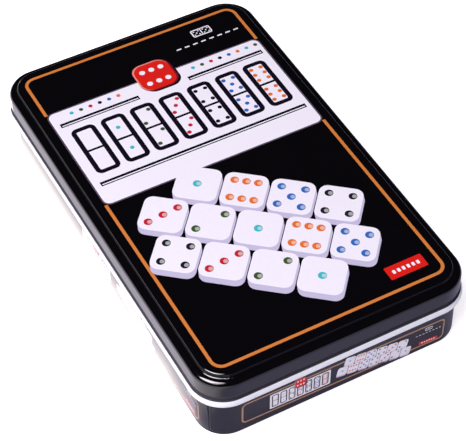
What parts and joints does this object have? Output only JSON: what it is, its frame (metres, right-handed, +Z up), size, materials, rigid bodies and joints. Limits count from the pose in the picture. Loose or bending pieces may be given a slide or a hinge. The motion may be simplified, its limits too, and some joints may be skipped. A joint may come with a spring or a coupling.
{
  "type": "domino storage tin",
  "caption": "Slip-lid tinplate box with rounded corners that stores a set of domino tiles in a formed plastic tray.",
  "frame": {"origin": "middle of the underside, on the surface that the tin stands on", "axes": "+X across the tin along its short sides, +Y along its long sides away from the front, +Z up out of the lid"},
  "size_m": [0.117, 0.192, 0.034],
  "materials": {
    "lid_lacquer": "gloss",
    "wall_lacquer": "gloss",
    "tinplate": "satin",
    "tray_plastic": "gloss",
    "tile_plastic": "gloss",
    "print_ink": "gloss",
    "pip_paint": "gloss"
  },
  "bodies": {
    "tin": {"body_wall": "wall_lacquer", "bottom_panel": "tinplate", "insert_tray": "tray_plastic", "domino_0_0": "tile_plastic", "domino_0_1": "tile_plastic", "domino_0_2": "tile_plastic", "domino_0_3": "tile_plastic", "domino_0_4": "tile_plastic", "domino_0_5": "tile_plastic", "domino_0_6": "tile_plastic", "domino_1_1": "tile_plastic", "domino_1_2": "tile_plastic", "domino_1_3": "tile_plastic", "domino_1_4": "tile_plastic", "domino_1_5": "tile_plastic", "domino_1_6": "tile_plastic", "domino_2_2": "tile_plastic", "domino_2_3": "tile_plastic", "domino_2_4": "tile_plastic", "domino_2_5": "tile_plastic", "domino_2_6": "tile_plastic", "domino_3_3": "tile_plastic", "domino_3_4": "tile_plastic", "domino_3_5": "tile_plastic", "domino_3_6": "tile_plastic", "domino_4_4": "tile_plastic", "domino_4_5": "tile_plastic", "domino_4_6": "tile_plastic", "domino_5_5": "tile_plastic", "domino_5_6": "tile_plastic", "domino_6_6": "tile_plastic"},
    "lid": {"lid": "lid_lacquer"}
  },
  "joints": [
    {"name": "lid_lift", "type": "slide", "parent": "tin", "child": "lid", "axis": [0, 0, 1], "range_m": [0, 0.06]}
  ]
}
